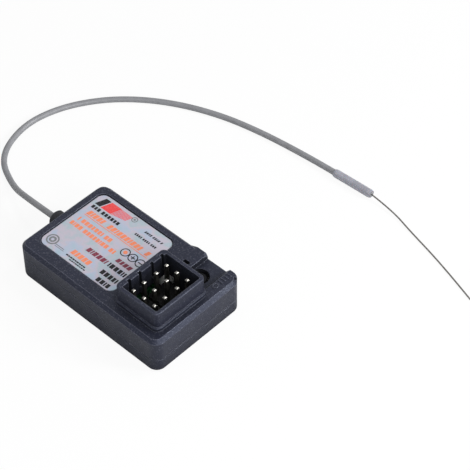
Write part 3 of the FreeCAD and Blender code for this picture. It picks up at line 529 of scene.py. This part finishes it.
tree.links.new(spread(tree, weave, 0.3, 0.7, 0.28, 0.42), shader["Roughness"])
bump = add_node(tree, "Bump", {"Strength": 0.5, "Distance": 0.00003, "Height": tracks})
tree.links.new(bump.outputs[0], shader["Normal"])

# %% [markdown]
# ## Lamp, cable jacket and sleeve
# The status lamp is a drop of clear red resin. The coax jacket is a mid grey plastic,
# satin from the die it was pushed through. The shrunk sleeve is a little paler, with a
# thin gloss, and lets some light into itself, which subsurface scattering shows.

# %% Resin, jacket and sleeve
lamp_resin, tree, shader = new_finish(
    "lamp_resin", Transmission_Weight=0.4, IOR=1.5, Coat_Weight=0.3)
clouded = noise(tree, object_place(tree), 2400.0, 2.0)
tone = blend(tree, clouded, colour(0.45, 0.05, 0.04), colour(0.70, 0.12, 0.09))
tree.links.new(tone, shader["Base Color"])
tree.links.new(spread(tree, clouded, 0.3, 0.7, 0.18, 0.30), shader["Roughness"])


def jacket(name, dark, pale, rough, **sockets):
    """An extruded skin: two near tones, fine grain and soft smears."""
    material, tree, shader = new_finish(name, **sockets)
    skin = use_group(tree, moulded_grain, Grain_Size=0.00010, Depth=0.25, Edge_Radius=0.00005)
    lines = use_group(tree, drawn_streaks, Squeeze=(1.0, 1.0, 1.0), Fineness=2500.0)
    film = use_group(tree, settled_dust, Amount=0.15)["Mask"]
    tone = blend(tree, lines["Smears"], dark, pale)
    tone = blend(tree, film, tone, colour(0.45, 0.44, 0.43))
    tree.links.new(tone, shader["Base Color"])
    tree.links.new(spread(tree, lines["Streaks"], 0.0, 1.0, *rough), shader["Roughness"])
    tree.links.new(skin["Normal"], shader["Normal"])
    return material


cable_jacket = jacket(
    "cable_jacket", colour(0.175, 0.178, 0.190), colour(0.205, 0.208, 0.222), (0.36, 0.46))
sleeve_plastic = jacket(
    "sleeve_plastic", colour(0.245, 0.245, 0.285), colour(0.290, 0.290, 0.335), (0.22, 0.30),
    Subsurface_Weight=0.08, Subsurface_Scale=0.0004, Coat_Weight=0.3)

# %% [markdown]
# ## The label's foil
# The label is printed on silver foil with a matte film over it. It looks pale
# blue-grey, and drifts a little towards pink and green from place to place, as thin
# foils do. A soft noise walks through those near tones on a Color Ramp, and a finer
# one gives the film its faint peel.

# %% Label foil
label_foil, tree, shader = new_finish("label_foil", Metallic=0.35, Specular_IOR_Level=0.5)
place = object_place(tree)
drift = noise(tree, place, 260.0, 2.5, 0.6)
tints = add_node(tree, "ValToRGB", {0: drift})
ramp = tints.color_ramp
ramp.elements[0].position, ramp.elements[0].color = 0.30, colour(0.33, 0.44, 0.52)
ramp.elements[1].position, ramp.elements[1].color = 0.70, colour(0.45, 0.41, 0.50)
for spot, tint in ((0.42, colour(0.39, 0.43, 0.54)), (0.50, colour(0.46, 0.42, 0.49)),
                   (0.60, colour(0.35, 0.43, 0.48))):
    ramp.elements.new(spot).color = tint
film = use_group(tree, settled_dust, Amount=0.12)["Mask"]
tree.links.new(blend(tree, film, tints.outputs[0], colour(0.7, 0.7, 0.7)), shader["Base Color"])
peel = noise(tree, place, 5200.0, 2.0)
tree.links.new(spread(tree, peel, 0.3, 0.7, 0.34, 0.46), shader["Roughness"])
bump = add_node(tree, "Bump", {"Strength": 0.15, "Distance": 0.00001, "Height": peel})
tree.links.new(bump.outputs[0], shader["Normal"])

# %% [markdown]
# ## Dressing the solids
# Each solid from the CAD model keeps its shape and gets its finish.

# %% Give every solid its finish
DRESS = (
    (case_plastic, ("top_cover", "bottom_case")),
    (label_foil, ("label",)),
    (board_laminate, ("circuit_board",)),
    (header_plastic, ("header_near", "header_far", "capacitor_foot", "switch_base")),
    (pin_metal, [name for name in NODES if name.startswith("pin_")]),
    (chip_plastic, ("controller_chip", "radio_chip")),
    (can_aluminium, ("capacitor_can", "crystal")),
    (screw_steel, ("screw_near", "screw_far")),
    (plate_steel, ("switch_plate", "contact_dome")),
    (lamp_resin, ("status_lamp",)),
    (button_plastic, ("button",)),
    (grommet_rubber, ("cable_grommet",)),
    (cable_jacket, ("antenna_coax", "antenna_tail")),
    (sleeve_plastic, ("antenna_sleeve",)),
    (wire_metal, ("antenna_tip",)))
for material, names in DRESS:
    for name in names:
        set_material(NODES[name], material)
print("solids dressed:", sum(len(names) for material, names in DRESS), "of", len(NODES))

# %% [markdown]
# ## The print on the label
# The real label is printed with words and a maker's sign. This part is a generic one,
# so the same places get plain fields: rows of bars where words were, a black, a red
# and a hatched field in the corner, rings, and a plus and a minus beside the power
# pins. Each ink is one piece: flat shapes are added one by one in edit mode, and one
# extrusion gives all of them the thickness of a film of ink.

# %% Helpers for printing
LABEL_TOP, INK_TOP, INK_ROOT = 7.67, 0.012, 0.006
LEAST_BAR, RING_SIDES = 0.2, 40


def bars(left, right, middle, tall, widths, gap=0.19):
    """A row of bars from left to right. A width below zero is a blank."""
    found, at, step = [], left, 0
    while at < right - LEAST_BAR:
        width = widths[step % len(widths)]
        if width > 0:
            reach = min(width, right - at)
            found.append((at + reach / 2, middle, reach, tall))
        at += abs(width) + gap
        step += 1
    return found


def press(name, fields=(), rings=(), leaning=(), base=LABEL_TOP - INK_ROOT, high=INK_TOP + INK_ROOT):
    """Raise flat shapes: fields are (x, y, long, tall), rings (x, y, radius, line), 0 for a dot."""
    pick()
    for number, (x, y, long, tall) in enumerate(fields):
        bpy.ops.mesh.primitive_plane_add(size=MM, location=mm(x, y, base))
        if number == 0:
            piece = bpy.context.object
            piece.name = name
            settle(piece)
            bpy.ops.object.mode_set(mode="EDIT")
        bpy.ops.transform.resize(value=(long, tall, 1), center_override=mm(x, y, base))
    for x, y, radius, line in rings:
        bpy.ops.mesh.primitive_circle_add(
            vertices=RING_SIDES, radius=radius * MM, fill_type="NGON", location=mm(x, y, base))
        if line:
            bpy.ops.mesh.inset(thickness=line * MM)
            bpy.ops.mesh.delete(type="FACE")
    bpy.ops.mesh.select_all(action="SELECT")
    bpy.ops.mesh.extrude_region_move(TRANSFORM_OT_translate={"value": mm(0, 0, high)})
    bpy.ops.mesh.select_all(action="SELECT")
    bpy.ops.mesh.normals_make_consistent(inside=False)
    bpy.ops.object.mode_set(mode="OBJECT")
    for vertex in piece.data.vertices:
        for middle, tall, lean in leaning:
            if abs(vertex.co.y / MM - middle) < tall / 2 + 0.01:
                vertex.co.x += (vertex.co.y - middle * MM) * lean
    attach(piece, "receiver")
    print(name, "shapes:", len(fields) + len(rings))
    return piece


# %% [markdown]
# Ink is thicker in some places than in others, and in the thin ones the foil glints
# through. One recipe gives each ink its colour and that faint unevenness.

# %% Inks


def ink(name, thick, thin, rough=(0.38, 0.5)):
    material, tree, shader = new_finish(name, Specular_IOR_Level=0.2)
    place = object_place(tree)
    coverage = spread(tree, noise(tree, place, 7000.0, 3.0, 0.7), 0.45, 0.75)
    film = use_group(tree, settled_dust, Amount=0.1)["Mask"]
    tone = blend(tree, film, blend(tree, coverage, thick, thin), colour(0.6, 0.6, 0.6))
    tree.links.new(tone, shader["Base Color"])
    tree.links.new(spread(tree, coverage, 0.0, 1.0, *rough), shader["Roughness"])
    return material


orange_ink = ink("orange_ink", colour(0.74, 0.200, 0.095), colour(0.72, 0.330, 0.220))
red_ink = ink("red_ink", colour(0.68, 0.045, 0.050), colour(0.66, 0.140, 0.130))
plum_ink = ink("plum_ink", colour(0.170, 0.024, 0.050), colour(0.240, 0.090, 0.110))
black_ink = ink("black_ink", colour(0.006, 0.006, 0.008), colour(0.022, 0.023, 0.027))
grey_ink = ink("grey_ink", colour(0.150, 0.160, 0.170), colour(0.260, 0.270, 0.290))

# %% [markdown]
# The rows stand where the real ones do. Words in capitals become upright bars, and the
# sloping display line becomes leaning ones.

# %% Print the label
orange = press(
    "print_orange",
    bars(-14.0, 1.7, 3.50, 1.15, (0.75, 0.45, 0.75, 0.75, 0.55, -0.9, 0.75, 0.75, 0.4, 0.75, 0.75))
    + [(-6.1, 2.62, 16.1, 0.16)]
    + bars(-14.2, -5.5, 1.22, 0.95, (0.35, -0.2, 0.7, 0.7, 0.7, 0.5, 0.7, 0.6))
    + bars(-14.6, -3.2, -0.35, 0.95, (0.6, 0.25, 0.7, 0.7, -0.2, 0.7, 0.6, 0.7, 0.55))
    + bars(-9.0, -4.2, -5.20, 1.15, (0.8, 0.6, 0.8, 0.75)),
    rings=((-1.86, 1.04, 0.42, 0),),
    leaning=((3.50, 1.15, 0.25), (-5.20, 1.15, 0.15)))
set_material(orange, orange_ink)

red = press(
    "print_red",
    [(-11.6, 6.95, 2.5, 2.3)] + [(-10.15 + 0.30 * step, 6.95 + 0.03 * step, 0.17, 2.2 - 0.07 * step)
                                for step in range(10)],
    leaning=((7.0, 2.6, 0.35),))
set_material(red, red_ink)

plum = press(
    "print_plum",
    bars(-7.4, -2.3, -2.95, 1.05, (0.85, 0.3, 0.85, 0.8))
    + bars(-1.7, 2.2, -1.20, 0.95, (0.8, 0.6, 0.8)),
    leaning=((-2.95, 1.05, 0.2), (-1.20, 0.95, 0.2)))
set_material(plum, plum_ink)

black = press(
    "print_black",
    [(-13.75, 6.95, 1.3, 2.3)]
    + bars(-14.7, -7.2, 5.05, 0.80, (0.6, 0.5, 0.6, -0.15, 0.6, 0.6, 0.55))
    + bars(-2.0, 2.2, -2.95, 1.05, (0.3, 0.8, 0.8, 0.7))
    + bars(-1.8, 2.2, -5.00, 1.05, (0.8, 0.8, 0.7, 0.6))
    + bars(-1.1, 2.0, -6.75, 1.00, (0.8, 0.75, 0.3))
    + bars(-2.9, 1.5, 7.05, 0.50, (0.32, 0.32, 0.25, 0.32, -0.1), gap=0.14)
    + bars(-3.9, 1.4, 5.50, 0.50, (0.32, 0.32, 0.32, 0.25, -0.1), gap=0.14)
    + bars(-9.3, -4.3, -6.48, 0.30, (0.5, 0.35, 0.5), gap=0.1)
    + bars(-8.0, -4.0, -6.98, 0.24, (0.45, 0.45, 0.3), gap=0.1)
    + [(0.06, 1.02, 1.0, 0.22), (0.06, 1.30, 0.22, 0.34), (0.06, 0.74, 0.22, 0.34),
       (1.95, 0.95, 1.0, 0.22)],
    rings=((-1.86, 1.04, 0.98, 0.20), (0.06, 1.02, 0.98, 0.20), (1.95, 0.95, 0.98, 0.20)),
    leaning=((6.95, 2.3, 0.35),))
set_material(black, black_ink)

grey = press(
    "print_grey",
    [(-11.5, -6.05, 2.3, 0.16), (-11.3, -6.40, 2.3, 0.12)],
    rings=((-13.75, -5.65, 1.25, 0.30), (-13.75, -5.65, 0.72, 0.40), (-6.40, 7.85, 0.64, 0.18),
           (-6.40, 7.85, 0.24, 0)))
set_material(grey, grey_ink)

# %% [markdown]
# ## Raised marks beside the button
# On the real lid small signs stand out of the plastic on the land behind the ramp, next
# to the button. Here they are a plain ring and four short ribs in the same plastic.
# They are pressed out like the print, only thicker, and a small bevel softens them.

# %% Raised marks
LAND_TOP, MARK_HIGH, MARK_ROOT, MARK_BEVEL = 7.85, 0.09, 0.02, 0.04
marks = press(
    "raised_marks",
    [(15.55, y, 1.15, 0.26) for y in (7.45, 8.20, 8.95, 9.70)],
    rings=((15.55, 6.15, 0.62, 0.24),), base=LAND_TOP - MARK_ROOT, high=MARK_HIGH + MARK_ROOT)
apply_modifier(marks, "BEVEL", width=MARK_BEVEL * MM, segments=2, limit_method="ANGLE")
set_material(marks, case_plastic)

# %% [markdown]
# ## The aerial's route
# The cable leaves the gland a few millimetres above the table, bends down under its
# own weight, swings round in one large loose loop behind the case and runs on past
# its far side. A NURBS curve of order 3 turns a few control points into such a line.
# The order is set after the points, because before them it would be lowered to 2.

# %% Coax cable and bare wire
COAX, SLEEVE, WIRE = 1.2, 1.7, 0.3
OFF_TABLE = 0.02
LYING, CARRIED, BARE = COAX / 2 + OFF_TABLE, SLEEVE / 2 + OFF_TABLE, WIRE / 2 + OFF_TABLE
NOSE = (-19.6, 0.0, 4.825)
CABLE_END = (16.8, 47.8, CARRIED)
COAX_ROUTE = (
    NOSE, (-27.4, 0.3, 4.1), (-34.9, 2.6, LYING), (-42.6, 6.3, LYING), (-46.0, 15.0, LYING),
    (-44.8, 23.2, LYING), (-40.6, 30.8, LYING), (-34.7, 36.7, LYING), (-27.5, 41.2, LYING),
    (-19.2, 44.4, LYING), (-11.0, 46.1, LYING), (-2.2, 47.1, LYING), (7.4, 47.5, CARRIED),
    CABLE_END)
WIRE_ROUTE = (
    CABLE_END, (22.3, 47.5, 0.45), (28.0, 45.9, BARE), (34.4, 44.2, BARE), (40.8, 42.2, BARE),
    (46.6, 40.2, BARE))


def cord_line(name, route, thick):
    """A smooth round cord through a loose row of control points, and the line that it follows."""
    data = bpy.data.curves.new(name, "CURVE")
    data.dimensions = "3D"
    line = data.splines.new("NURBS")
    line.points.add(len(route) - 1)
    for point, spot in zip(line.points, route):
        point.co = (*mm(*spot), 1)
    line.order_u = 3
    line.use_endpoint_u = True
    line.resolution_u = 12
    piece = bpy.data.objects.new(name, data)
    bpy.context.collection.objects.link(piece)
    thread = bpy.data.meshes.new_from_object(piece)
    points = [vertex.co.copy() for vertex in thread.vertices]
    bpy.data.meshes.remove(thread)
    data.bevel_depth = thick * MM / 2
    data.bevel_resolution = 6
    data.use_fill_caps = True
    pick(piece)
    bpy.ops.object.convert(target="MESH")
    bpy.ops.object.shade_smooth_by_angle(angle=SMOOTH_BELOW)
    return bpy.context.object, points


coax, coax_points = cord_line("coax", COAX_ROUTE, COAX)
wire, wire_points = cord_line("bare_wire", WIRE_ROUTE, WIRE)


def length_of(points):
    return sum((b - a).length for a, b in zip(points, points[1:]))


print("coax %.1f mm, wire %.1f mm" % (length_of(coax_points) / MM, length_of(wire_points) / MM))

# %% [markdown]
# The shrunk-on sleeve near the cable's end follows the cable's own line. A cylinder
# with many rings is added, and each ring is then carried to its place on the line.
# Its ends are drawn in a little, as shrink tubing does over the cable's jacket.

# %% Sleeve
SLEEVE_LENGTH, SLEEVE_WALL = 9.0, 0.1
SLEEVE_SIDES, SLEEVE_RINGS = 32, 36
DRAWN_IN = (0.86, 0.95, 0.99)


def spots_from_end(points, reach, count):
    """Evenly spaced points and headings along the last stretch of a line."""
    walk = list(reversed(points))
    found, travelled, wanted = [], 0.0, 0.0
    for near, far in zip(walk, walk[1:]):
        step = (far - near).length
        while len(found) <= count and travelled + step >= wanted - 1e-9:
            share = 0 if step == 0 else (wanted - travelled) / step
            found.append((near.lerp(far, share), (near - far).normalized()))
            wanted += reach / count
        travelled += step
    return list(reversed(found))


bpy.ops.mesh.primitive_cylinder_add(
    vertices=SLEEVE_SIDES, radius=SLEEVE / 2 * MM, depth=1, end_fill_type="NOTHING")
sleeve = bpy.context.object
sleeve.name = "cable_sleeve"
pick(sleeve)
bpy.ops.object.mode_set(mode="EDIT")
bpy.ops.mesh.select_all(action="SELECT")
bpy.ops.mesh.bisect(plane_co=(0, 0, 0), plane_no=(0, 0, 1))
for ring in range(1, SLEEVE_RINGS):
    if ring * 2 != SLEEVE_RINGS:
        bpy.ops.mesh.select_all(action="SELECT")
        bpy.ops.mesh.bisect(plane_co=(0, 0, ring / SLEEVE_RINGS - 0.5), plane_no=(0, 0, 1))
bpy.ops.object.mode_set(mode="OBJECT")
stretch = spots_from_end(coax_points, SLEEVE_LENGTH * MM, SLEEVE_RINGS)
for vertex in sleeve.data.vertices:
    ring = round((vertex.co.z + 0.5) * SLEEVE_RINGS)
    spot, heading = stretch[ring]
    side = heading.cross(Vector((0, 0, 1))).normalized()
    lift = side.cross(heading)
    from_end = min(ring, SLEEVE_RINGS - ring)
    narrow = DRAWN_IN[from_end] if from_end < len(DRAWN_IN) else 1
    vertex.co = spot + (side * vertex.co.x + lift * vertex.co.y) * narrow
pick(sleeve)
bpy.ops.object.mode_set(mode="EDIT")
bpy.ops.mesh.select_all(action="SELECT")
bpy.ops.mesh.normals_make_consistent(inside=False)
bpy.ops.object.mode_set(mode="OBJECT")
apply_modifier(sleeve, "SOLIDIFY", thickness=SLEEVE_WALL * MM, offset=-1)
bpy.ops.object.shade_smooth_by_angle(angle=SMOOTH_BELOW)
print("sleeve faces:", len(sleeve.data.polygons))

# %% [markdown]
# The aerial's pieces: each new cord, the CAD solid that it stands in for, which is
# hidden, and its finish. The photograph shows it from end to end.

AERIAL = (
    (coax, "antenna_coax", cable_jacket),
    (wire, "antenna_tip", wire_metal),
    (sleeve, "antenna_sleeve", sleeve_plastic))
for piece, node, material in AERIAL:
    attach(piece, "receiver")
    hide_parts(node)
    set_material(piece, material)

# %% Finish
bpy.context.view_layer.update()
